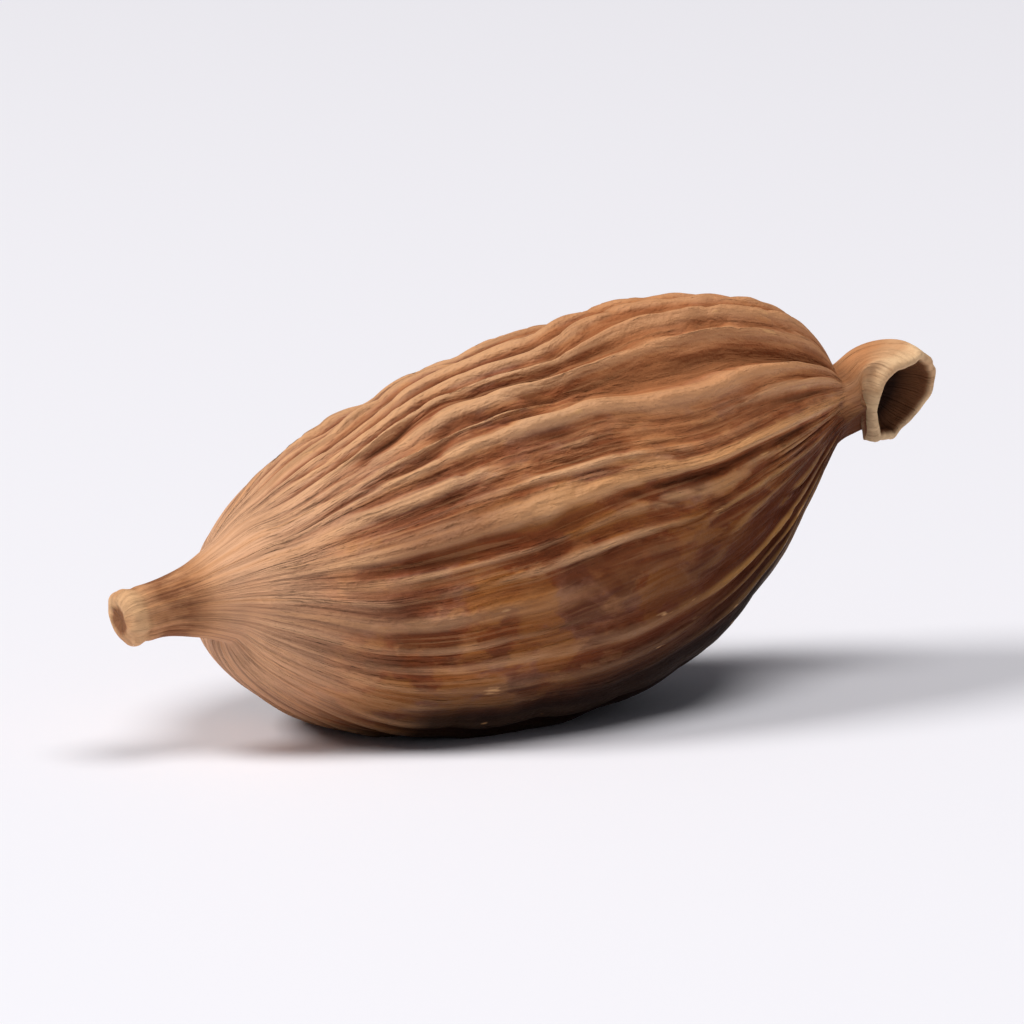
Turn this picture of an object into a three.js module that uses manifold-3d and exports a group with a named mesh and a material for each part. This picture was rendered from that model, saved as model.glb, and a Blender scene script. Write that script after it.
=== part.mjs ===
// A dried black cardamom pod lying on its side, as one solid: the ribbed husk, the stub of the stalk
// that it was picked by and the shrivelled calyx at its tip all grew together.
// Millimetres and degrees. +X runs from the stalk to the calyx, +Z is up, and the origin is on the surface
// that the pod lies on, under the middle of its box.
import * as THREE from "three";
import { mergeVertices } from "three/addons/utils/BufferGeometryUtils.js";
import Module from "manifold-3d";

// Driving dimensions
const BODY_LENGTH = 25.8; // husk, from the foot of the stalk to the neck of the calyx
const BODY_WIDTH = 12.5; // between the ribs
const STALK_LENGTH = 4;
const STALK_WIDTH = 2;
const CALYX_LENGTH = 2.2;
const NECK_WIDTH = 2.3;
const MOUTH_WIDTH = 3.6;
const FLAT_DEPTH = 0.7; // pressed off the underside where the pod rests

// The husk's outline: its radius rises as t^blunt at the stalk and falls as (1 - t)^taper at the calyx.
// It is fuller at the stalk underneath and on the +Y side, and at the calyx on top, and its flanks run
// straighter to the calyx.
const BLUNT = 0.5;
const BLUNT_SKEW = 0.055;
const BLUNT_SIDE = 0.065;
const TAPER = 0.645;
const TAPER_SKEW = -0.17;
const TAPER_FLANKS = 0.1;
const FILLET_POWER = 4; // the lower it is, the wider the fillets at the stalk and the neck
const LOBES = 3; // one for each seed chamber, the first on top
const LOBE_SHARE = 0.045; // of the radius
const SIDE_SWAY = 0.5; // sideways bow of the spine

// The underside swells back under the stalk, and sags where the pod's weight is
const SHOULDER = 0.3;
const SHOULDER_LENGTH = 4;
const SAG = 1.1;
const SAG_AT = 0.64; // of the husk's length
const SAG_LENGTH = 6;
const SAG_SPREAD = 52;

// The spine's rise towards the calyx
const TILT = 9.9; // at the middle of the husk
const HUSK_BEND = 20; // how much steeper it is at the neck than at the stalk's foot
const STALK_NOD = 11;
const CALYX_NOD = -32;
const CALYX_TURN = 60; // towards -Y

// Ribs along the husk, which wander, wave, swell and fade
const RIBS = 40;
const RIB_HEIGHT = 0.32;
const RIB_SHARPNESS = 1.4;
const RIB_WANDER = 0.32; // of the gap between two ribs
const RIB_WANDER_LENGTH = 9;
const RIB_WAVE = 0.6; // of the same gap
const RIB_WAVE_LENGTH = 4.5;
const RIBS_TOGETHER = 5; // which swing in the same wave
const RIB_MEAN = 0.7; // of the height
const RIB_SWELL = 0.7;
const RIB_SWELL_LENGTH = 6;
const SMOOTH_SIDE = 108; // degrees from the top, where the ribs are faintest
const SMOOTH_SPREAD = 46;
const SMOOTH_SHARE = 0.75;
const SMOOTH_UNTIL = 0.35; // of the husk's length, from where the ribs come back towards the calyx
const RIBBED_WIDTH = 0.6; // of the husk's width, under which the ribs shrink with it
const RIBS_FULL = 7; // from the foot of the stalk, where the husk is smooth

// Each lobe has a seam along it and a deep fold that opens towards the calyx, both measured from its crest
const SEAM_HEIGHT = 0.34;
const SEAM_AT = 65;
const SEAM_SPREAD = 5;
const FOLD_DEPTH = 0.75;
const FOLD_AT = 31;
const FOLD_SPREAD = 7;
const FOLD_FROM = 0.35; // of the husk's length
const FOLD_FULL = 0.75;

// Seeds that show through the husk as low bumps, and the dents of drying
const SEED_BUMP = 0.22;
const SEED_WIDTH = 3.4;
const SEEDS_ALONG = 6;
const SEEDS_PER_LOBE = 2;
const SEEDS_FROM = 0.12; // of the husk's length
const SEEDS_TO = 0.82;
const SEED_STRAY_ALONG = 0.4; // of the gap between two seeds
const SEED_STRAY_ROUND = 0.2; // of a lobe
const DENT = 0.3;
const DENTS_AROUND = 5;
const DENT_LENGTH = 8;

// The stalk widens into the husk, most on one side, and ends in a worn knob with a hollow in its cut face
const STALK_FLARE = 0.92;
const FLARE_SKEW = 0.65;
const FLARE_SIDE = 60; // degrees from the top
const FLARE_AT = 1; // past the foot
const FLARE_LENGTH = 1.8;
const KNOB = 0.04;
const KNOB_LENGTH = 0.45;
const CUT_DEPTH = 0.1;
const CUT_RIM = 0.55; // of the knob's width
const CUT_ROUND = 0.5; // length over which the knob rounds to its rim

// The calyx is a flattened bell whose torn edge curls in, like a hood: longest on top and on its +Y side
const CALYX_FLATTENING = 0.42;
const CALYX_SLANT = 0.4;
const CALYX_PEAK = 0.3;
const CALYX_CURL = 110; // degrees round its wall, from the neck to the edge
const CALYX_TEAR = 0.25;
const TEARS = 5;
const CALYX_WALL = 0.42;
const MOUTH_DEPTH = 1.3;

const SEED_OF_DRAWS = 11;

// Mesh density
const COLUMNS_PER_RIB = 3;
const HUSK_ROWS = 28;
const CUT_ROWS = 2;
const STALK_ROWS = 5;
const CALYX_ROWS = 5;
const MOUTH_ROWS = 2;
const SPINE_STEPS = 24;

const COLUMNS = RIBS * COLUMNS_PER_RIB;
const TURN = 2 * Math.PI;
const { clamp, degToRad, euclideanModulo, lerp, radToDeg, smoothstep } = THREE.MathUtils;

// A repeatable draw from 0 to 1 for each pair of whole numbers
function draw(i, j, salt) {
  const wave = Math.sin(i * 127.1 + j * 311.7 + salt * 74.7 + SEED_OF_DRAWS) * 43758.5453;
  return wave - Math.floor(wave);
}

// Smooth noise from -1 to 1, which closes on itself after `around` cells in its first direction
function drift(u, v, around, salt) {
  const i = Math.floor(u);
  const j = Math.floor(v);
  const here = euclideanModulo(i, around);
  const next = euclideanModulo(i + 1, around);
  const across = smoothstep(u - i, 0, 1);
  const before = lerp(draw(here, j, salt), draw(next, j, salt), across);
  const after = lerp(draw(here, j + 1, salt), draw(next, j + 1, salt), across);
  return 2 * lerp(before, after, smoothstep(v - j, 0, 1)) - 1;
}

// Places along the spine, s, are measured from the foot of the stalk, and angles from the top towards -Y
function bodyRadius(s, angle) {
  const t = clamp(s / BODY_LENGTH, 0, 1);
  const blunt = BLUNT + BLUNT_SKEW * Math.cos(angle) + BLUNT_SIDE * Math.sin(angle);
  const taper = TAPER + TAPER_SKEW * Math.cos(angle) - TAPER_FLANKS * Math.cos(2 * angle);
  const widest = blunt / (blunt + taper);
  return (BODY_WIDTH / 2) * (t / widest) ** blunt * ((1 - t) / (1 - widest)) ** taper;
}

function stalkRadius(s, angle) {
  const skew = 1 + FLARE_SKEW * Math.cos(angle - degToRad(FLARE_SIDE));
  const foot = STALK_FLARE * skew * Math.exp(-(((s - FLARE_AT) / FLARE_LENGTH) ** 2));
  const knob = KNOB * Math.exp(-(((s + STALK_LENGTH) / KNOB_LENGTH - 1) ** 2));
  return STALK_WIDTH / 2 + foot + knob;
}

function calyxRadius(s) {
  const along = clamp((s - BODY_LENGTH) / CALYX_LENGTH, 0, 1);
  return lerp(NECK_WIDTH, MOUTH_WIDTH, Math.sin(degToRad(CALYX_CURL) * along) ** 2) / 2;
}

const stemRadius = (s, angle) => (s < BODY_LENGTH / 2 ? stalkRadius(s, angle) : calyxRadius(s));

// The powers make a fillet where the stalk and the neck run into the husk
function outerRadius(s, angle) {
  const husk = bodyRadius(s, angle) ** FILLET_POWER;
  const stem = stemRadius(s, angle) ** FILLET_POWER;
  return (husk + stem) ** (1 / FILLET_POWER);
}

function spineRise(s) {
  const t = clamp(s / BODY_LENGTH, 0, 1);
  const stalk = STALK_NOD * smoothstep(-s, 0, STALK_LENGTH);
  const calyx = CALYX_NOD * smoothstep(s - BODY_LENGTH, 0, CALYX_LENGTH);
  return degToRad(TILT + HUSK_BEND * (t - 0.5) + stalk + calyx);
}

const spineTurn = (s) => degToRad(CALYX_TURN * smoothstep(s - BODY_LENGTH, 0, CALYX_LENGTH));

function spineAhead(s) {
  const rise = spineRise(s);
  const turn = spineTurn(s);
  return new THREE.Vector3(Math.cos(rise) * Math.cos(turn), -Math.cos(rise) * Math.sin(turn), Math.sin(rise));
}

function spinePoint(s) {
  const step = s / SPINE_STEPS;
  const point = new THREE.Vector3(0, SIDE_SWAY * Math.sin((Math.PI * s) / BODY_LENGTH), 0);
  for (let i = 0; i < SPINE_STEPS; i++) {
    point.addScaledVector(spineAhead((i + 0.5) * step), step);
  }
  return point;
}

// Ribs are counted round from the top: a rib's valleys are at whole numbers and its crest halfway
function ribAngle(rib, s) {
  const wander = RIB_WANDER * drift(rib, s / RIB_WANDER_LENGTH, RIBS, 1);
  const wave = RIB_WAVE * drift(rib / RIBS_TOGETHER, s / RIB_WAVE_LENGTH, RIBS / RIBS_TOGETHER, 13);
  return (TURN / RIBS) * (rib + wander + wave);
}

function ribRelief(rib, angle, s) {
  const crest = (0.5 - 0.5 * Math.cos(TURN * rib)) ** RIB_SHARPNESS;
  const swell = RIB_MEAN + RIB_SWELL * drift(Math.floor(rib), s / RIB_SWELL_LENGTH, RIBS, 2);
  const off = (radToDeg(angle) - SMOOTH_SIDE) / SMOOTH_SPREAD;
  const smooth = Math.exp(-(off ** 2)) * (1 - smoothstep(s / BODY_LENGTH, SMOOTH_UNTIL, 1));
  return RIB_HEIGHT * crest * swell * (1 - SMOOTH_SHARE * smooth);
}

// Seams and folds follow the ribs
function seamRelief(rib, s) {
  const lobe = 360 / LOBES;
  const past = (line) => euclideanModulo((360 / RIBS) * rib - line + lobe / 2, lobe) - lobe / 2;
  const open = smoothstep(s / BODY_LENGTH, FOLD_FROM, FOLD_FULL);
  const seam = SEAM_HEIGHT * Math.exp(-((past(SEAM_AT) / SEAM_SPREAD) ** 2));
  return seam - FOLD_DEPTH * open * Math.exp(-((past(FOLD_AT) / FOLD_SPREAD) ** 2));
}

// How much of the pod's weight a place bears, from 0 to 1
function bearing(angle, s) {
  const along = (s - SAG_AT * BODY_LENGTH) / SAG_LENGTH;
  const round = (radToDeg(angle) - 180) / SAG_SPREAD;
  return Math.exp(-(along ** 2) - round ** 2);
}

function seedPlaces() {
  const places = [];
  for (let lobe = 0; lobe < LOBES; lobe++) {
    for (let n = 0; n < SEEDS_ALONG * SEEDS_PER_LOBE; n++) {
      const along = (n + 0.5 + SEED_STRAY_ALONG * (draw(n, lobe, 3) - 0.5)) / (SEEDS_ALONG * SEEDS_PER_LOBE);
      const round = ((n % SEEDS_PER_LOBE) + 0.5) / SEEDS_PER_LOBE - 0.5;
      const stray = SEED_STRAY_ROUND * (draw(n, lobe, 4) - 0.5);
      places.push({
        s: BODY_LENGTH * lerp(SEEDS_FROM, SEEDS_TO, along),
        angle: (TURN / LOBES) * (lobe + round + stray),
      });
    }
  }
  return places;
}
const SEEDS = seedPlaces();

function seedRelief(angle, s) {
  const bumps = SEEDS.map((seed) => {
    const turn = angle - seed.angle;
    const across = Math.atan2(Math.sin(turn), Math.cos(turn)) * bodyRadius(s, angle);
    return SEED_BUMP * Math.exp(-((Math.hypot(s - seed.s, across) / (SEED_WIDTH / 2)) ** 2));
  });
  return Math.max(...bumps);
}

// A point of the surface, at `share` of the way out from the spine
function surfacePoint(rib, s, share) {
  const angle = ribAngle(rib, s);
  const radius = outerRadius(s, angle);
  const husk = (bodyRadius(s, angle) / radius) ** FILLET_POWER;
  const calyx = smoothstep(s - BODY_LENGTH, 0, CALYX_LENGTH);
  const lobed = radius * (1 + LOBE_SHARE * husk * Math.cos(LOBES * angle));
  const dents = DENT * drift((angle / TURN) * DENTS_AROUND, s / DENT_LENGTH, DENTS_AROUND, 5);
  const narrow = Math.min(1, (2 * radius) / (RIBBED_WIDTH * BODY_WIDTH));
  const sag = bearing(angle, s);
  const ribbed = smoothstep(s, 0, RIBS_FULL) * (1 - sag);
  const folds = (ribRelief(rib, angle, s) + seamRelief(rib, s)) * ribbed;
  const reach = share * (lobed + husk * narrow * (folds + SAG * sag + seedRelief(angle, s) + dents));
  const torn = CALYX_TEAR * drift((angle / TURN) * TEARS, 0, TEARS, 6);
  const hood = CALYX_PEAK * Math.cos(angle) - CALYX_SLANT * Math.sin(angle);
  const shoulder = SHOULDER * husk * Math.exp(-s / SHOULDER_LENGTH) * (0.5 - 0.5 * Math.cos(angle));
  const ahead = spineAhead(s);
  const side = new THREE.Vector3(-Math.sin(spineTurn(s)), -Math.cos(spineTurn(s)), 0);
  const up = new THREE.Vector3().crossVectors(side, ahead);
  return spinePoint(s)
    .addScaledVector(ahead, share * (calyx * (torn + hood) - shoulder))
    .addScaledVector(up, reach * Math.cos(angle))
    .addScaledVector(side, reach * Math.sin(angle) * (1 - CALYX_FLATTENING * calyx));
}

// Rows of the surface from the middle of the stalk's cut face to the bottom of the calyx's mouth
function surfaceRows() {
  const rows = [
    { s: CUT_DEPTH - STALK_LENGTH, share: 0 },
    { s: CUT_DEPTH / 2 - STALK_LENGTH, share: CUT_RIM / 2 },
  ];
  for (let i = 0; i < CUT_ROWS; i++) {
    const round = (Math.PI / 2) * (i / CUT_ROWS);
    rows.push({
      s: CUT_ROUND * (1 - Math.cos(round)) - STALK_LENGTH,
      share: lerp(CUT_RIM, 1, Math.sin(round)),
    });
  }
  for (let i = 0; i < STALK_ROWS; i++) {
    rows.push({ s: (CUT_ROUND - STALK_LENGTH) * (1 - i / STALK_ROWS), share: 1 });
  }
  for (let i = 0; i < HUSK_ROWS; i++) {
    rows.push({ s: (BODY_LENGTH * (1 - Math.cos((Math.PI * i) / HUSK_ROWS))) / 2, share: 1 });
  }
  for (let i = 0; i <= CALYX_ROWS; i++) {
    rows.push({ s: BODY_LENGTH + (CALYX_LENGTH * i) / CALYX_ROWS, share: 1 });
  }
  const lip = 1 - CALYX_WALL / (MOUTH_WIDTH / 2);
  for (let i = 0; i <= MOUTH_ROWS; i++) {
    const depth = i / MOUTH_ROWS;
    rows.push({ s: BODY_LENGTH + CALYX_LENGTH - MOUTH_DEPTH * depth, share: lip * (1 - depth ** 2) });
  }
  return rows;
}

// A plain turned shape with one profile point for each row gives the faces, and the surface the vertices
function podGeometry() {
  const rows = surfaceRows();
  const profile = rows.map(({ s, share }) => new THREE.Vector2(share * outerRadius(s, 0), s));
  const geometry = new THREE.LatheGeometry(profile, COLUMNS);
  const position = geometry.getAttribute("position");
  for (let i = 0; i < position.count; i++) {
    const column = Math.floor(i / rows.length) % COLUMNS;
    const { s, share } = rows[i % rows.length];
    position.setXYZ(i, ...surfacePoint(column / COLUMNS_PER_RIB, s, share));
  }
  return geometry;
}

function toSolid(wasm, geometry) {
  const bare = geometry.clone();
  bare.deleteAttribute("normal");
  bare.deleteAttribute("uv");
  const merged = mergeVertices(bare);
  return new wasm.Manifold(
    new wasm.Mesh({
      numProp: 3,
      vertProperties: merged.getAttribute("position").array,
      triVerts: new Uint32Array(merged.index.array),
    }),
  );
}

function toGeometry(solid) {
  const { vertProperties, triVerts } = solid.getMesh();
  const geometry = new THREE.BufferGeometry();
  geometry.setAttribute("position", new THREE.BufferAttribute(vertProperties, 3));
  geometry.setIndex(new THREE.BufferAttribute(triVerts, 1));
  geometry.computeVertexNormals();
  return geometry;
}

// Sets the pod down over the origin and cuts the flat spot that it rests on
function pressFlat(wasm, geometry) {
  geometry.computeBoundingBox();
  const size = geometry.boundingBox.getSize(new THREE.Vector3());
  const middle = geometry.boundingBox.getCenter(new THREE.Vector3());
  geometry.translate(-middle.x, -middle.y, -geometry.boundingBox.min.z - FLAT_DEPTH);
  const ground = new THREE.BoxGeometry(2 * size.x, 2 * size.y, size.z).translate(0, 0, -size.z / 2);
  return toGeometry(toSolid(wasm, geometry).subtract(toSolid(wasm, ground)));
}

const wasm = await Module();
wasm.setup();

const husk = new THREE.MeshStandardMaterial({ color: 0x8c5e41, roughness: 0.75, metalness: 0 });
const pod = new THREE.Mesh(pressFlat(wasm, podGeometry()), husk);
pod.name = "cardamom_pod";

const part = new THREE.Group();
part.add(pod);
export default part;
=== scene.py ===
"""A dried black cardamom pod on a pale surface, in soft light from the upper left.

The pod is one piece: a ribbed husk with the stub of its stalk and its shrivelled calyx. Its form is worked
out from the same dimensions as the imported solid, with the folds, fibres and wear that are too fine for it.
Lengths are in millimetres and angles in degrees until the mesh is made, which is in metres.
"""
import math

import bpy
import numpy as np
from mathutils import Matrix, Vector


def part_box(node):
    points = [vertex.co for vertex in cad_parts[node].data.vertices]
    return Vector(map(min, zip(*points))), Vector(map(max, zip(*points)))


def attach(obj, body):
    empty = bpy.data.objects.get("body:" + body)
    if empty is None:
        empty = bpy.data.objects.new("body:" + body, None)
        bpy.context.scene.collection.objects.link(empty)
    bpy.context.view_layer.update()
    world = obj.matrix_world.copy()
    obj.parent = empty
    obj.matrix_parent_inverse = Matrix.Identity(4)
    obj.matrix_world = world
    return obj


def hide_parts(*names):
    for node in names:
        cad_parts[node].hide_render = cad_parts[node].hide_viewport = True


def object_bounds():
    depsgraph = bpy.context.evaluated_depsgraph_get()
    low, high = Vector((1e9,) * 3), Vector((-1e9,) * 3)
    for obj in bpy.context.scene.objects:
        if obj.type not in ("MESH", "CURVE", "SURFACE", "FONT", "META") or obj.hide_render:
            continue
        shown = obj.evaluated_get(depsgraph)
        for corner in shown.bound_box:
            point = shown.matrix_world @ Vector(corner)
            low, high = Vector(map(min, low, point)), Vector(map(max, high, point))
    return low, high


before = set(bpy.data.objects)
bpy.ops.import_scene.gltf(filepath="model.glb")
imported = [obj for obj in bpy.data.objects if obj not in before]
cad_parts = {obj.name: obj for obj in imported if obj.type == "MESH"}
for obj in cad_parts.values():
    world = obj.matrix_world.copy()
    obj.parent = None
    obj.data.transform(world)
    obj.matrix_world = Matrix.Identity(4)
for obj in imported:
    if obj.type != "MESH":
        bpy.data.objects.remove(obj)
CAD_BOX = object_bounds()
MM = 0.001

# The solid's driving dimensions
BODY_LENGTH = 25.8
BODY_WIDTH = 12.5
STALK_LENGTH = 4.0
STALK_WIDTH = 2.0
CALYX_LENGTH = 2.2
NECK_WIDTH = 2.3
MOUTH_WIDTH = 3.6
FLAT_DEPTH = 0.7

# The husk's outline, as powers of the distance from its two ends, and its three lobes
BLUNT = 0.5
BLUNT_SKEW = 0.055
BLUNT_SIDE = 0.065
TAPER = 0.645
TAPER_SKEW = -0.17
TAPER_FLANKS = 0.1
FILLET_POWER = 4
LOBES = 3
LOBE_SHARE = 0.045
SIDE_SWAY = 0.5

# The underside's swelling
SHOULDER = 0.3
SHOULDER_LENGTH = 4.0
SAG = 1.1
SAG_AT = 0.64
SAG_LENGTH = 6.0
SAG_SPREAD = 52.0

# The spine's rise, and the calyx's turn towards -Y
TILT = 9.9
HUSK_BEND = 20.0
STALK_NOD = 11.0
CALYX_NOD = -32.0
CALYX_TURN = 60.0
SPINE_STEPS = 24

# Ribs
RIBS = 40
RIB_HEIGHT = 0.32
RIB_SHARPNESS = 1.4
RIB_WANDER = 0.32
RIB_WANDER_LENGTH = 9.0
RIB_WAVE = 0.6
RIB_WAVE_LENGTH = 4.5
RIBS_TOGETHER = 5
RIB_MEAN = 0.7
RIB_SWELL = 0.7
RIB_SWELL_LENGTH = 6.0
SMOOTH_SIDE = 108.0
SMOOTH_SPREAD = 46.0
SMOOTH_SHARE = 0.75
SMOOTH_UNTIL = 0.35
RIBBED_WIDTH = 0.6
RIBS_FULL = 7.0

# Seams and folds, measured from the crest of each lobe
SEAM_HEIGHT = 0.34
SEAM_AT = 65.0
SEAM_SPREAD = 5.0
FOLD_DEPTH = 0.75
FOLD_AT = 31.0
FOLD_SPREAD = 7.0
FOLD_FROM = 0.35
FOLD_FULL = 0.75

# Seeds that show through the husk, and dents
SEED_BUMP = 0.22
SEED_WIDTH = 3.4
SEEDS_ALONG = 6
SEEDS_PER_LOBE = 2
SEEDS_FROM = 0.12
SEEDS_TO = 0.82
SEED_STRAY_ALONG = 0.4
SEED_STRAY_ROUND = 0.2
DENT = 0.3
DENTS_AROUND = 5
DENT_LENGTH = 8.0

# Stalk and calyx
STALK_FLARE = 0.92
FLARE_SKEW = 0.65
FLARE_SIDE = 60.0
FLARE_AT = 1.0
FLARE_LENGTH = 1.8
KNOB = 0.04
KNOB_LENGTH = 0.45
CUT_DEPTH = 0.1
CUT_RIM = 0.55
CUT_ROUND = 0.5
CALYX_FLATTENING = 0.42
CALYX_SLANT = 0.4
CALYX_PEAK = 0.3
CALYX_CURL = 110.0
CALYX_TEAR = 0.25
TEARS = 5
CALYX_WALL = 0.42
MOUTH_DEPTH = 1.3

# Draws, which the solid makes with the same numbers
SEED_OF_DRAWS = 11
DRAW_STEPS = (127.1, 311.7, 74.7)
DRAW_SPREAD = 43758.5453

# Folds of the dried skin, too fine for the solid: height, and the waves that make them, as (to a rib, length)
WRINKLES = ((0.24, ((1, 3.2), (2, 2.2))), (0.12, ((3, 1.8), (5, 1.3))))
WRINKLE_STRAY = 0.9
WRINKLE_STRAY_LENGTH = 3.2
WRINKLES_TOGETHER = 2
WRINKLE_ROUNDNESS = 0.7
WRINKLE_LEVEL = 0.4  # the share of the height that lies below the solid
SMOOTH_WRINKLES = 0.75
CREASE_DEPTH = 0.3
CREASE_SPREAD = 2.5
GROOVE_DEPTH = 0.15
GROOVE_ROWS = 3
GROOVE_COLUMNS = 8

# Wear of the stub and the calyx
STALK_FIBRE = 0.06
STALK_FIBRE_LENGTH = 3.0
RIBS_PER_FIBRE = 2
STALK_LUMP = 0.1
STALK_LUMP_LENGTH = 1.3
RIBS_PER_LUMP = 8
STALK_RING = 0.07
RING_AT = 0.75
RING_SPREAD = 0.16
CUT_ROUGHNESS = 0.1
CUT_RINGS = 4
RIBS_PER_CUT_MARK = 4
VEINS = 7
VEIN_HEIGHT = 0.16
VEIN_STRAY = 0.8
VEIN_SHARPNESS = 3
RIM_HEIGHT = 0.06
RIM_LENGTH = 0.4
FINE_TEAR = 0.06
FINE_TEARS = 17

# Mesh density
COLUMNS_PER_RIB = 10
HUSK_ROWS = 160
STALK_ROWS = 24
CUT_ROWS = 10
CALYX_ROWS = 22
LIP_ROWS = 8
MOUTH_ROWS = 12

# Camera: where the photographer stood, and how much the picture takes in
AZIMUTH = -30.0
ELEVATION = 12.0
LENS = 400.0
PICTURE_WIDTH = 36.0

# Lights: azimuth, elevation, distance, width, watts and colour
LIGHTS = {
    "key": (-105.0, 42.0, 1000.0, 400.0, 7.2, "#fffdfa"),
    "overhead": (20.0, 76.0, 1000.0, 600.0, 5.8, "#fffdfb"),
}
ROOM_COLOUR = "#f2f2fa"
ROOM_LIGHT = 0.12
FLOOR_COLOUR = "#f4f4fb"
FLOOR_REACH = 3000.0

COLUMNS = RIBS * COLUMNS_PER_RIB
CALYX_END = BODY_LENGTH + CALYX_LENGTH
MOUTH_END = CALYX_END - MOUTH_DEPTH
TURN = 2 * math.pi


def ease(x, low=0.0, high=1.0):
    t = np.clip((x - low) / (high - low), 0, 1)
    return t * t * (3 - 2 * t)


def blend(a, b, share):
    return a + (b - a) * share


def draw(i, j, salt):
    """A repeatable draw from 0 to 1 for each pair of whole numbers, with a salt for each use of it."""
    step_i, step_j, step_salt = DRAW_STEPS
    wave = np.sin(i * step_i + j * step_j + salt * step_salt + SEED_OF_DRAWS) * DRAW_SPREAD
    return wave - np.floor(wave)


def drift(u, v, around, salt):
    """Smooth noise from -1 to 1, which closes on itself after `around` cells in its first direction."""
    i = np.floor(u)
    j = np.floor(v)
    here = np.mod(i, around)
    beside = np.mod(i + 1, around)
    across = ease(u - i)
    before = blend(draw(here, j, salt), draw(beside, j, salt), across)
    after = blend(draw(here, j + 1, salt), draw(beside, j + 1, salt), across)
    return 2 * blend(before, after, ease(v - j)) - 1


def body_radius(s, angle):
    t = np.clip(s / BODY_LENGTH, 0, 1)
    blunt = BLUNT + BLUNT_SKEW * np.cos(angle) + BLUNT_SIDE * np.sin(angle)
    taper = TAPER + TAPER_SKEW * np.cos(angle) - TAPER_FLANKS * np.cos(2 * angle)
    widest = blunt / (blunt + taper)
    return BODY_WIDTH / 2 * (t / widest) ** blunt * ((1 - t) / (1 - widest)) ** taper


def stem_radius(s, angle):
    """The stalk's radius on the first half of the pod, and the calyx's on the second."""
    skew = 1 + FLARE_SKEW * np.cos(angle - math.radians(FLARE_SIDE))
    foot = STALK_FLARE * skew * np.exp(-(((s - FLARE_AT) / FLARE_LENGTH) ** 2))
    knob = KNOB * np.exp(-(((s + STALK_LENGTH) / KNOB_LENGTH - 1) ** 2))
    stalk = STALK_WIDTH / 2 + foot + knob
    along = np.clip((s - BODY_LENGTH) / CALYX_LENGTH, 0, 1)
    calyx = blend(NECK_WIDTH, MOUTH_WIDTH, np.sin(math.radians(CALYX_CURL) * along) ** 2) / 2
    return np.where(s < BODY_LENGTH / 2, stalk, calyx)


def spine_turn(s):
    return np.radians(CALYX_TURN * ease(s - BODY_LENGTH, 0, CALYX_LENGTH))


def spine_ahead(s):
    """The spine's direction towards the calyx."""
    t = np.clip(s / BODY_LENGTH, 0, 1)
    stalk = STALK_NOD * ease(-s, 0, STALK_LENGTH)
    calyx = CALYX_NOD * ease(s - BODY_LENGTH, 0, CALYX_LENGTH)
    rise = np.radians(TILT + HUSK_BEND * (t - 0.5) + stalk + calyx)
    turn = spine_turn(s)
    return np.stack([np.cos(rise) * np.cos(turn), -np.cos(rise) * np.sin(turn), np.sin(rise)], axis=-1)


def spine_point(s):
    step = s / SPINE_STEPS
    ahead = sum(spine_ahead((i + 0.5) * step) for i in range(SPINE_STEPS))
    sway = SIDE_SWAY * np.sin(math.pi * s / BODY_LENGTH)
    return np.stack([0 * s, sway, 0 * s], axis=-1) + step[..., None] * ahead


def seed_places():
    count = SEEDS_ALONG * SEEDS_PER_LOBE
    for lobe in range(LOBES):
        for n in range(count):
            along = (n + 0.5 + SEED_STRAY_ALONG * (draw(n, lobe, 3) - 0.5)) / count
            around = (n % SEEDS_PER_LOBE + 0.5) / SEEDS_PER_LOBE - 0.5
            stray = SEED_STRAY_ROUND * (draw(n, lobe, 4) - 0.5)
            place = BODY_LENGTH * blend(SEEDS_FROM, SEEDS_TO, along)
            yield place, TURN / LOBES * (lobe + around + stray)


def seed_relief(angle, s):
    bumps = np.zeros(s.shape)
    for place, seed_angle in seed_places():
        turn = angle - seed_angle
        across = np.arctan2(np.sin(turn), np.cos(turn)) * body_radius(s, angle)
        distance = np.hypot(s - place, across) / (SEED_WIDTH / 2)
        bumps = np.maximum(bumps, SEED_BUMP * np.exp(-(distance ** 2)))
    return bumps


def smoothness(angle, s):
    """How smooth the husk is, from 0 where it is fully ribbed to 1 on the flank, away from the calyx."""
    flank = np.exp(-(((np.degrees(angle) - SMOOTH_SIDE) / SMOOTH_SPREAD) ** 2))
    return flank * (1 - ease(s / BODY_LENGTH, SMOOTH_UNTIL, 1))


def bearing(angle, s):
    """How much of the pod's weight a place bears, from 0 to 1."""
    along = (s - SAG_AT * BODY_LENGTH) / SAG_LENGTH
    around = (np.degrees(angle) - 180) / SAG_SPREAD
    return np.exp(-(along ** 2) - around ** 2)


def rib_relief(rib, angle, s):
    crest = (0.5 - 0.5 * np.cos(TURN * rib)) ** RIB_SHARPNESS
    swell = RIB_MEAN + RIB_SWELL * drift(np.floor(rib), s / RIB_SWELL_LENGTH, RIBS, 2)
    return RIB_HEIGHT * crest * swell * (1 - SMOOTH_SHARE * smoothness(angle, s))


def near_line(rib, line, spread):
    """How near a place is to a line along each lobe, from 0 to 1."""
    lobe = 360 / LOBES
    past = np.mod(360 / RIBS * rib - line + lobe / 2, lobe) - lobe / 2
    return np.exp(-((past / spread) ** 2))


def seam_relief(rib, s):
    """The seam along each lobe, and its fold, which has a sharp crease at the bottom."""
    opening = ease(s / BODY_LENGTH, FOLD_FROM, FOLD_FULL)
    fold = FOLD_DEPTH * near_line(rib, FOLD_AT, FOLD_SPREAD)
    crease = CREASE_DEPTH * near_line(rib, FOLD_AT, CREASE_SPREAD)
    return SEAM_HEIGHT * near_line(rib, SEAM_AT, SEAM_SPREAD) - opening * (fold + crease)


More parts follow.
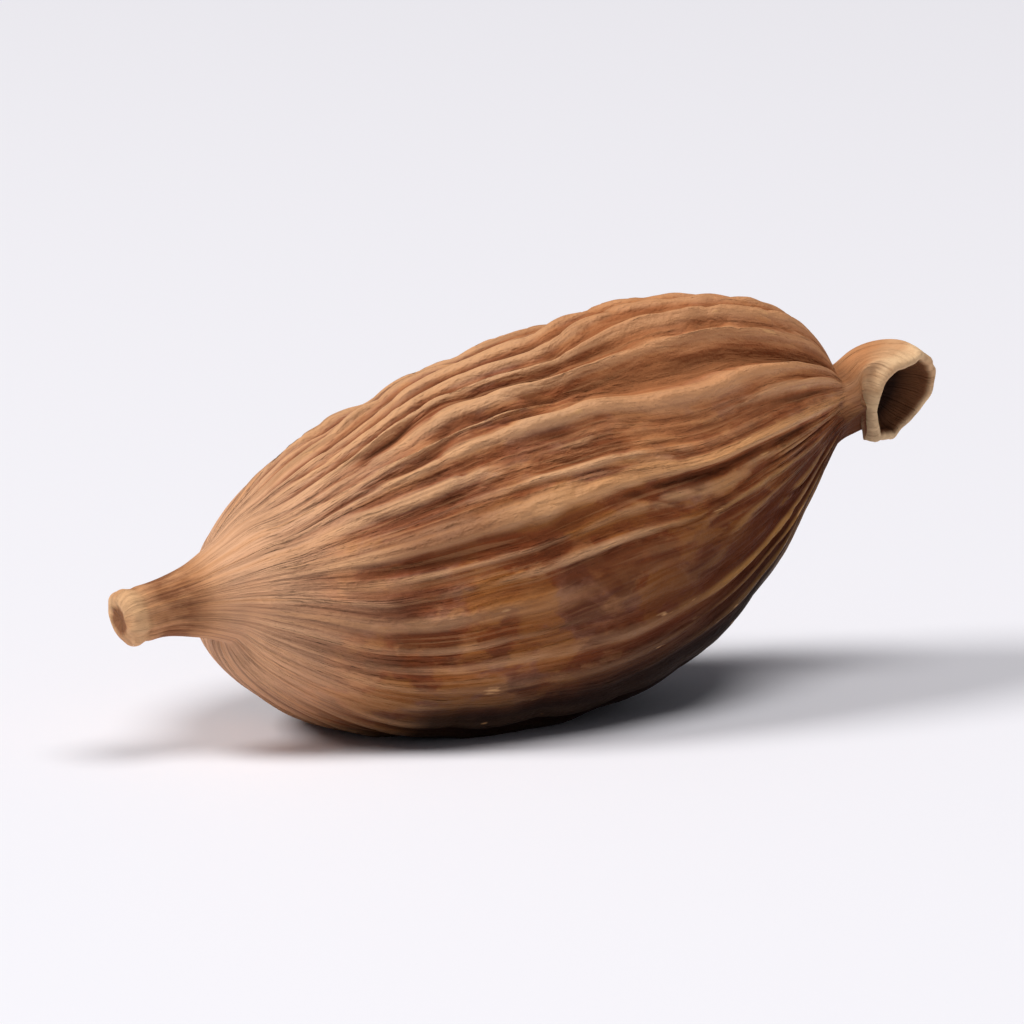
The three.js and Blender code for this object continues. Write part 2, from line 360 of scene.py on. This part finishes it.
def wrinkle_relief(rib, angle, s):
    """Folds of the dried skin: rounded ridges that part and meet, with sharp grooves between them."""
    groups = RIBS // WRINKLES_TOGETHER
    stray = WRINKLE_STRAY * drift(rib / WRINKLES_TOGETHER, s / WRINKLE_STRAY_LENGTH, groups, 7)
    relief = 0
    salt = 20
    for height, waves in WRINKLES:
        folds = 0
        for per_rib, length in waves:
            salt += 1
            folds = folds + drift((rib + stray) * per_rib, s / length, RIBS * per_rib, salt) / len(waves)
        relief = relief + height * (np.abs(folds) ** WRINKLE_ROUNDNESS - WRINKLE_LEVEL)
    return relief * (1 - SMOOTH_WRINKLES * smoothness(angle, s))


def stalk_relief(rib, s):
    """Fibres and lumps along the stub of the stalk, and the ring where it came away."""
    fibres = STALK_FIBRE * drift(rib / RIBS_PER_FIBRE, s / STALK_FIBRE_LENGTH, RIBS // RIBS_PER_FIBRE, 8)
    lumps = STALK_LUMP * drift(rib / RIBS_PER_LUMP, s / STALK_LUMP_LENGTH, RIBS // RIBS_PER_LUMP, 9)
    ring = STALK_RING * np.exp(-(((s + STALK_LENGTH - RING_AT) / RING_SPREAD) ** 2))
    return (fibres + lumps - ring) * (s < BODY_LENGTH / 2)


def calyx_relief(angle, s):
    """Veins that run out along the calyx, and its thickened edge."""
    stray = VEIN_STRAY * drift(angle / TURN * VEINS, s, VEINS, 10)
    vein = VEIN_HEIGHT * (0.5 + 0.5 * np.cos(VEINS * angle + stray)) ** VEIN_SHARPNESS
    rim = RIM_HEIGHT * ease(s, CALYX_END - RIM_LENGTH, CALYX_END)
    return (vein + rim) * (s > BODY_LENGTH / 2)


def pod_surface(rib, s, share):
    """Points of the surface, its fine relief, the angle round from the top, and how much of it is husk.

    Ribs are counted round from the top towards -Y, s is the place along the spine from the stalk's foot, and
    share says how far out from the spine a row is: 1 outside, and less in the cut face and the mouth.
    """
    wander = RIB_WANDER * drift(rib, s / RIB_WANDER_LENGTH, RIBS, 1)
    wave = RIB_WAVE * drift(rib / RIBS_TOGETHER, s / RIB_WAVE_LENGTH, RIBS // RIBS_TOGETHER, 13)
    angle = TURN / RIBS * (rib + wander + wave)
    body = body_radius(s, angle)
    radius = (body ** FILLET_POWER + stem_radius(s, angle) ** FILLET_POWER) ** (1 / FILLET_POWER)
    husk = (body / radius) ** FILLET_POWER
    calyx = ease(s - BODY_LENGTH, 0, CALYX_LENGTH)
    narrow = np.minimum(1, 2 * radius / (RIBBED_WIDTH * BODY_WIDTH))
    sag = bearing(angle, s)
    lobed = radius * (1 + LOBE_SHARE * husk * np.cos(LOBES * angle))
    dents = DENT * drift(angle / TURN * DENTS_AROUND, s / DENT_LENGTH, DENTS_AROUND, 5)
    swelling = husk * narrow * (SAG * sag + seed_relief(angle, s) + dents)
    folds = rib_relief(rib, angle, s) + seam_relief(rib, s) + wrinkle_relief(rib, angle, s)
    folds = folds * ease(s, 0, RIBS_FULL) * (1 - sag)
    fine = husk * narrow * folds + (1 - husk) * (stalk_relief(rib, s) + calyx_relief(angle, s))
    reach = share * (lobed + swelling + fine)

    torn = CALYX_TEAR * drift(angle / TURN * TEARS, 0 * s, TEARS, 6)
    frayed = FINE_TEAR * drift(angle / TURN * FINE_TEARS, 0 * s, FINE_TEARS, 11)
    shoulder = SHOULDER * husk * np.exp(-s / SHOULDER_LENGTH) * (0.5 - 0.5 * np.cos(angle))
    cut = CUT_ROUGHNESS * ease(-s, STALK_LENGTH - 2 * CUT_ROUND, STALK_LENGTH)
    cut = cut * drift(rib / RIBS_PER_CUT_MARK, CUT_RINGS * share, RIBS // RIBS_PER_CUT_MARK, 12)
    hood = CALYX_PEAK * np.cos(angle) - CALYX_SLANT * np.sin(angle)
    onward = share * (calyx * (torn + frayed + hood) - shoulder + cut)

    ahead = spine_ahead(s)
    turn = spine_turn(s)
    side = np.stack([-np.sin(turn), -np.cos(turn), 0 * s], axis=-1)
    up = np.cross(side, ahead)
    points = spine_point(s) + ahead * onward[..., None]
    points = points + up * (reach * np.cos(angle))[..., None]
    points = points + side * (reach * np.sin(angle) * (1 - CALYX_FLATTENING * calyx))[..., None]
    return points, fine, angle, husk


def surface_rows():
    """Rows from the middle of the stalk's cut face to the bottom of the calyx's mouth, as (s, share)."""
    face = np.linspace(0, 1, CUT_ROWS, endpoint=False)
    bend = np.linspace(0, math.pi / 2, CUT_ROWS, endpoint=False)
    roll = np.linspace(0, math.pi, LIP_ROWS, endpoint=False)
    depth = np.linspace(0, 1, MOUTH_ROWS)
    husk = BODY_LENGTH / 2 * (1 - np.cos(np.linspace(0, math.pi, HUSK_ROWS, endpoint=False)))
    lip = 1 - CALYX_WALL / (MOUTH_WIDTH / 2)
    stretches = (
        (CUT_DEPTH * (1 - face) - STALK_LENGTH, CUT_RIM * face),
        (CUT_ROUND * (1 - np.cos(bend)) - STALK_LENGTH, blend(CUT_RIM, 1, np.sin(bend))),
        (np.linspace(CUT_ROUND - STALK_LENGTH, 0, STALK_ROWS, endpoint=False), np.ones(STALK_ROWS)),
        (husk, np.ones(HUSK_ROWS)),
        (np.linspace(BODY_LENGTH, CALYX_END, CALYX_ROWS, endpoint=False), np.ones(CALYX_ROWS)),
        (CALYX_END + CALYX_WALL / 2 * np.sin(roll), blend(lip, 1, 0.5 + 0.5 * np.cos(roll))),
        (CALYX_END - MOUTH_DEPTH * depth, lip * (1 - depth ** 2)),
    )
    return (np.concatenate(values) for values in zip(*stretches))


def grid_faces(rows, columns):
    """Quads between neighbouring rows, and a fan at each end, where a row is one point."""
    ring = np.arange(columns)
    beside = (ring + 1) % columns
    first = 1 + columns * np.arange(rows - 1)[:, None]
    second = first + columns
    quads = np.stack([first + ring, first + beside, second + beside, second + ring], axis=-1)
    last = 1 + columns * (rows - 1)
    tip = last + columns
    start_fan = [(0, 1 + b, 1 + a) for a, b in zip(ring, beside)]
    end_fan = [(tip, last + a, last + b) for a, b in zip(ring, beside)]
    return quads.reshape(-1, 4).tolist() + start_fan + end_fan


def softened(field, rows, columns):
    """A field averaged over a few rows and columns, which wrap round."""
    wrapped = sum(np.roll(field, k, axis=1) for k in range(-columns, columns + 1)) / (2 * columns + 1)
    padded = np.pad(wrapped, ((rows, rows), (0, 0)), mode="edge")
    return sum(padded[k:k + len(field)] for k in range(2 * rows + 1)) / (2 * rows + 1)


def make_pod():
    s, share = surface_rows()
    grid_rib, grid_s = np.meshgrid(np.arange(COLUMNS) / COLUMNS_PER_RIB, s)
    grid_share = np.broadcast_to(share[:, None], grid_s.shape)
    points, fine, angle, husk = pod_surface(grid_rib, grid_s, grid_share)
    low, high = (np.array(corner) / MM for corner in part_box("cardamom_pod"))
    shift = (low + high - points.min((0, 1)) - points.max((0, 1))) / 2
    shift[2] = -points[..., 2].min() - FLAT_DEPTH
    points = points + shift
    points[..., 2] = np.maximum(points[..., 2], 0)

    # The grain runs along the husk, and its cells draw together with the ribs towards both ends
    turn = TURN * grid_rib / RIBS
    grain = np.stack([grid_s, BODY_WIDTH / 2 * np.cos(turn), BODY_WIDTH / 2 * np.sin(turn)], axis=-1)
    fields = {
        "relief": (fine - softened(fine, GROOVE_ROWS, GROOVE_COLUMNS)) / GROOVE_DEPTH,
        "husk": husk,
        "flank": smoothness(angle, grid_s),
        "seam": near_line(grid_rib, SEAM_AT, SEAM_SPREAD),
        "underside": 0.5 - 0.5 * np.cos(angle),
        "outside": grid_share,
    }

    def flattened(field):
        inner = field[1:-1].reshape(-1, *field.shape[2:])
        return np.concatenate([field[0, :1], inner, field[-1, :1]])

    mesh = bpy.data.meshes.new("cardamom_pod_husk")
    mesh.from_pydata((flattened(points) * MM).tolist(), [], grid_faces(len(s) - 2, COLUMNS))
    mesh.shade_smooth()
    for name, field in fields.items():
        attribute = mesh.attributes.new(name, "FLOAT", "POINT")
        attribute.data.foreach_set("value", flattened(field).astype(np.float32))
    attribute = mesh.attributes.new("grain", "FLOAT_VECTOR", "POINT")
    attribute.data.foreach_set("vector", flattened(grain).astype(np.float32).ravel())
    pod = bpy.data.objects.new("cardamom_pod_husk", mesh)
    bpy.context.scene.collection.objects.link(pod)
    return pod


def linear(colour):
    """An sRGB hex colour as linear red, green, blue and alpha."""
    shares = [int(colour[i:i + 2], 16) / 255 for i in (1, 3, 5)]
    return [c / 12.92 if c <= 0.04045 else ((c + 0.055) / 1.055) ** 2.4 for c in shares] + [1.0]


def add_node(tree, kind, inputs, output=0, **settings):
    """Adds a node with its settings, gives each input a value or a link, and returns one of its outputs."""
    node = tree.nodes.new(kind)
    for name, value in settings.items():
        setattr(node, name, value)
    for name, value in inputs.items():
        if isinstance(value, bpy.types.NodeSocket):
            tree.links.new(value, node.inputs[name])
        else:
            node.inputs[name].default_value = value
    return node.outputs[output] if node.outputs else None


def new_material(name):
    material = bpy.data.materials.new(name)
    material.use_nodes = True
    material.node_tree.nodes.clear()
    return material


# Patterns of the husk's skin: whether they follow the grain or the pod's own length, their length and width,
# and detail. The fibres are about 0.1 mm wide, and are drawn twice as coarse to show. Each pattern is taken
# from its own part of the noise, a step away from the one before it.
SKIN_PATTERNS = {
    "fibres": ("grain", 6.0, 0.2, 2.0),
    "crinkles": ("grain", 2.0, 0.5, 4.0),
    "streaks": ("grain", 6.0, 0.7, 3.0),
    "scuffs": ("grain", 1.4, 0.3, 2.0),
    "mottle": ("length", 2.2, 1.2, 5.0),
    "blotches": ("length", 1.6, 1.0, 4.0),
    "clouds": ("length", 5.0, 3.0, 4.0),
    "stains": ("length", 3.0, 1.8, 5.0),
    "grit": ("length", 0.25, 0.2, 2.0),
}
PATTERN_ROUGHNESS = 0.55
PATTERN_STEP = 17.0

# The skin's colours and its painted light and shade, laid one over another: what it is, its colour, how much
# of it there is, and the limits between which it comes in, which are of a pattern or of a place on the pod
SKIN_COLOUR = "#9e5627"
SKIN_LAYERS = (
    # Painted light: the upper half of the husk is paler, as if lit from above
    ("painted light on the upper side", "#c48a60", 0.7, (("underside", 0.5, 0.15),)),
    # Brown skin of the smooth flank, darkened further with painted shade
    ("brown flank and painted shade", "#74340f", 0.6, (("flank", 0.3, 0.7), ("along", 2.5, 6.5))),
    ("red brown mottling", "#823c17", 0.65, (("mottle", 0.49, 0.56),)),
    # Grey tan patches, tinted lilac to paint the cool sheen of highlights on the husk
    ("grey tan clouds and painted sheen", "#a67c66", 0.5, (("clouds", 0.5, 0.56),)),
    ("pale blotches", "#ca8c58", 0.6, (("blotches", 0.54, 0.61),)),
    ("dark blotches", "#683820", 0.55, (("blotches", 0.46, 0.38),)),
    ("ochre stains", "#ae6e32", 0.75, (("stains", 0.52, 0.57), ("flank", 0.05, 0.4))),
    ("dark stains", "#552810", 0.75, (("stains", 0.51, 0.43), ("flank", 0.05, 0.4))),
    # Pale skin at the stalk's end of the husk, raised further as painted light on this lit end
    ("pale shoulder and painted light", "#dfac86", 0.85, (("along", 4.8, 1.2),)),
    # Painted light: paler on the top of the husk near the stalk, where the light from the upper left falls
    ("painted light on the top of the shoulder", "#dfac86", 0.75, (("along", 10.0, 3.0), ("underside", 0.3, 0.08))),
    ("stub of the stalk", "#c98d5d", 0.7, (("along", -0.2, -1.2),)),
    ("dark stub", "#7d482b", 0.8, (("along", -3.1, -2.6), ("along", -0.8, -1.7), ("blotches", 0.66, 0.46))),
    ("calyx", "#cf9a6b", 0.7, (("along", BODY_LENGTH - 1.0, BODY_LENGTH + 0.6),)),
    ("pale streaks", "#c88a58", 0.4, (("streaks", 0.52, 0.64),)),
    ("dark streaks", "#6a3b22", 0.35, (("streaks", 0.47, 0.36),)),
    # Pale worn crests, with a painted highlight along them, lighter as the relief rises
    ("worn crests and painted highlight", "#dba87c", 0.8, (("relief", 0.0, 0.8),)),
    ("rubbed seams", "#d0925a", 0.55, (("seam", 0.35, 0.9), ("relief", -0.2, 0.3), ("along", 7.0, 13.0))),
    ("brown start of the seams", "#73391a", 0.6,
     (("seam", 0.0, 0.5), ("along", 3.0, 5.5), ("along", 10.5, 8.0))),
    # Painted shade: red brown in the hollows of the relief
    ("painted shade in the hollows", "#8a4320", 0.6, (("relief", 0.0, -0.5),)),
    # Painted shade: dark in the deepest grooves of the relief
    ("painted shade in the grooves", "#4c220a", 0.75, (("relief", -0.35, -1.1),)),
    ("dark fibres", "#5f361f", 0.3, (("fibres", 0.48, 0.38), ("husk", -0.4, 0.6))),
    ("pale fibres", "#d39c6d", 0.25, (("fibres", 0.53, 0.64), ("husk", -0.4, 0.6))),
    # Painted light: paler on the top of the husk towards the calyx, as if lit from above
    ("painted light on the top of the tip", "#c27f50", 0.45, (("along", 12.0, 17.0), ("underside", 0.32, 0.12))),
    # Painted shade: dark on the lower side of the husk, away from the stalk
    ("painted shade on the lower side", "#4d1d04", 0.88, (("underside", 0.34, 0.64), ("along", 6.0, 17.0))),
    # Painted highlight: golden light on the rib crests of the sides near the calyx
    ("painted highlight on the ribs near the calyx", "#bb8645", 0.65, (("relief", 0.1, 0.7), ("underside", 0.3, 0.5), ("along", 13.0, 19.0))),
    # Painted shade: nearly black on the underside, where it meets the floor, except at the ends
    ("painted shade under the pod", "#170a05", 0.94,
     (("underside", 0.73, 0.86), ("along", 2.5, 6.0), ("along", 25.0, 19.0))),
    ("scuffs", "#e2ac75", 0.7, (("scuffs", 0.69, 0.75), ("relief", -0.1, 0.3))),
    ("worn rim of the stub", "#e0b183", 0.9, (("along", -3.0, -3.4), ("blotches", 0.75, 0.45))),
    ("pith of the stub", "#86502e", 0.85, (("along", 0.0, -3.0), ("outside", 0.6, 0.4))),
    ("rim of the calyx", "#f0cb9e", 0.9, (("along", CALYX_END - 1.2, CALYX_END), ("blotches", 0.8, 0.4))),
    ("inside of the calyx", "#7a4a2c", 0.95, (("along", BODY_LENGTH, MOUTH_END), ("outside", 0.84, 0.77))),
    # Painted shade: nearly black deep in the calyx's mouth
    ("painted shade deep in the calyx", "#25120a", 0.95, (("along", BODY_LENGTH, MOUTH_END), ("outside", 0.77, 0.55))),
)

# How far the patterns raise the skin
SKIN_BUMPS = {"crinkles": 0.3, "fibres": 0.1, "grit": 0.05}


def smoke_dried_husk():
    """Cardamom husk, dried over smoke until it shrivelled.

    Its ribs are worn pale and a little shiny, with a painted highlight on their crests, and painted shade
    keeps the folds and hollows between them dark; they are dull. Long fibres streak it, stains blotch it, and
    grey tan clouds on it carry a painted sheen. Painted light pales its upper side and the tops of its two
    ends and picks out the ribs near the calyx; painted shade deepens the brown of its flank and darkens its
    lower side, its underside and the depth of the calyx. It pales at the stalk, partly as painted light, and
    round the edge of the calyx.
    """
    material = new_material("smoke_dried_husk")
    tree = material.node_tree
    grain = add_node(tree, "ShaderNodeAttribute", {}, "Vector", attribute_name="grain")
    place = add_node(tree, "ShaderNodeTexCoord", {}, "Object")
    place = add_node(tree, "ShaderNodeVectorMath", {0: place, "Scale": 1 / MM}, operation="SCALE")
    ways = {"grain": grain, "length": place}
    skin = {"along": add_node(tree, "ShaderNodeSeparateXYZ", {0: grain}, "X")}
    for name in ("relief", "husk", "flank", "seam", "underside", "outside"):
        skin[name] = add_node(tree, "ShaderNodeAttribute", {}, "Fac", attribute_name=name)
    for number, (name, (way, length, width, detail)) in enumerate(SKIN_PATTERNS.items()):
        cells = {0: ways[way], 1: (1 / length, 1 / width, 1 / width), 2: (0.0, 0.0, PATTERN_STEP * number)}
        cells = add_node(tree, "ShaderNodeVectorMath", cells, operation="MULTIPLY_ADD")
        noise = {"Vector": cells, "Scale": 1.0, "Detail": detail, "Roughness": PATTERN_ROUGHNESS}
        skin[name] = add_node(tree, "ShaderNodeTexNoise", noise)

    colour = linear(SKIN_COLOUR)
    for label, layer_colour, share, limits in SKIN_LAYERS:
        for source, low, high in limits:
            fade = {"Value": skin[source], "From Min": low, "From Max": high, "To Max": share}
            share = add_node(tree, "ShaderNodeMapRange", fade, label=label)
        layer = {0: share, 6: colour, 7: linear(layer_colour)}
        colour = add_node(tree, "ShaderNodeMix", layer, 2, data_type="RGBA", label=label)

    gloss = {"Value": skin["relief"], "From Min": -0.7, "From Max": 0.7, "To Min": 0.85, "To Max": 0.52}
    finish = {
        "Base Color": colour,
        "Roughness": add_node(tree, "ShaderNodeMapRange", gloss),
        "Specular IOR Level": 0.15,
    }
    shown = {"Value": skin["husk"], "From Max": 0.6, "To Min": 0.5}
    strength = add_node(tree, "ShaderNodeMapRange", shown)
    for name, distance in SKIN_BUMPS.items():
        bump = {"Height": skin[name], "Strength": strength, "Distance": distance * MM}
        if "Normal" in finish:
            bump["Normal"] = finish["Normal"]
        finish["Normal"] = add_node(tree, "ShaderNodeBump", bump)
    shader = add_node(tree, "ShaderNodeBsdfPrincipled", finish)
    add_node(tree, "ShaderNodeOutputMaterial", {"Surface": shader})
    return material


def pale_board():
    """Smooth white board, which the eye takes as an even pale ground."""
    material = new_material("pale_board")
    finish = {"Base Color": linear(FLOOR_COLOUR), "Roughness": 0.6}
    shader = add_node(material.node_tree, "ShaderNodeBsdfPrincipled", finish)
    add_node(material.node_tree, "ShaderNodeOutputMaterial", {"Surface": shader})
    return material


def add_floor():
    size = FLOOR_REACH * MM
    mesh = bpy.data.meshes.new("floor")
    corners = [(-size, -size, 0), (size, -size, 0), (size, size, 0), (-size, size, 0)]
    mesh.from_pydata(corners, [], [(0, 1, 2, 3)])
    floor = bpy.data.objects.new("floor", mesh)
    bpy.context.scene.collection.objects.link(floor)
    floor.data.materials.append(pale_board())


def direction(azimuth, elevation):
    """From the pod towards a place seen at that azimuth and elevation: azimuth 0 is -Y, and 90 is +X."""
    a = math.radians(azimuth)
    e = math.radians(elevation)
    return Vector((math.sin(a) * math.cos(e), -math.cos(a) * math.cos(e), math.sin(e)))


def add_light(name, azimuth, elevation, distance, width, watts, colour):
    light = bpy.data.lights.new(name, "AREA")
    light.shape = "DISK"
    light.size = width * MM
    light.energy = watts
    light.color = linear(colour)[:3]
    lamp = bpy.data.objects.new(name, light)
    lamp.location = direction(azimuth, elevation) * distance * MM
    lamp.rotation_euler = (-lamp.location).to_track_quat("-Z", "Y").to_euler()
    bpy.context.scene.collection.objects.link(lamp)


def add_camera():
    data = bpy.data.cameras.new("camera")
    data.lens = LENS
    camera = bpy.data.objects.new("camera", data)
    low, high = CAD_BOX
    middle = (Vector(low) + Vector(high)) / 2
    away = PICTURE_WIDTH * MM * LENS / data.sensor_width
    camera.location = middle + direction(AZIMUTH, ELEVATION) * away
    camera.rotation_euler = (middle - camera.location).to_track_quat("-Z", "Y").to_euler()
    bpy.context.scene.collection.objects.link(camera)
    bpy.context.scene.camera = camera


def light_stage():
    world = bpy.data.worlds.new("studio")
    world.use_nodes = True
    background = world.node_tree.nodes["Background"]
    background.inputs["Color"].default_value = linear(ROOM_COLOUR)
    background.inputs["Strength"].default_value = ROOM_LIGHT
    bpy.context.scene.world = world
    bpy.context.scene.view_settings.view_transform = "Standard"
    for name, values in LIGHTS.items():
        add_light(name, *values)


add_camera()
light_stage()
add_floor()
pod = make_pod()
pod.data.materials.append(smoke_dried_husk())
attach(pod, "root")
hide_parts("cardamom_pod")
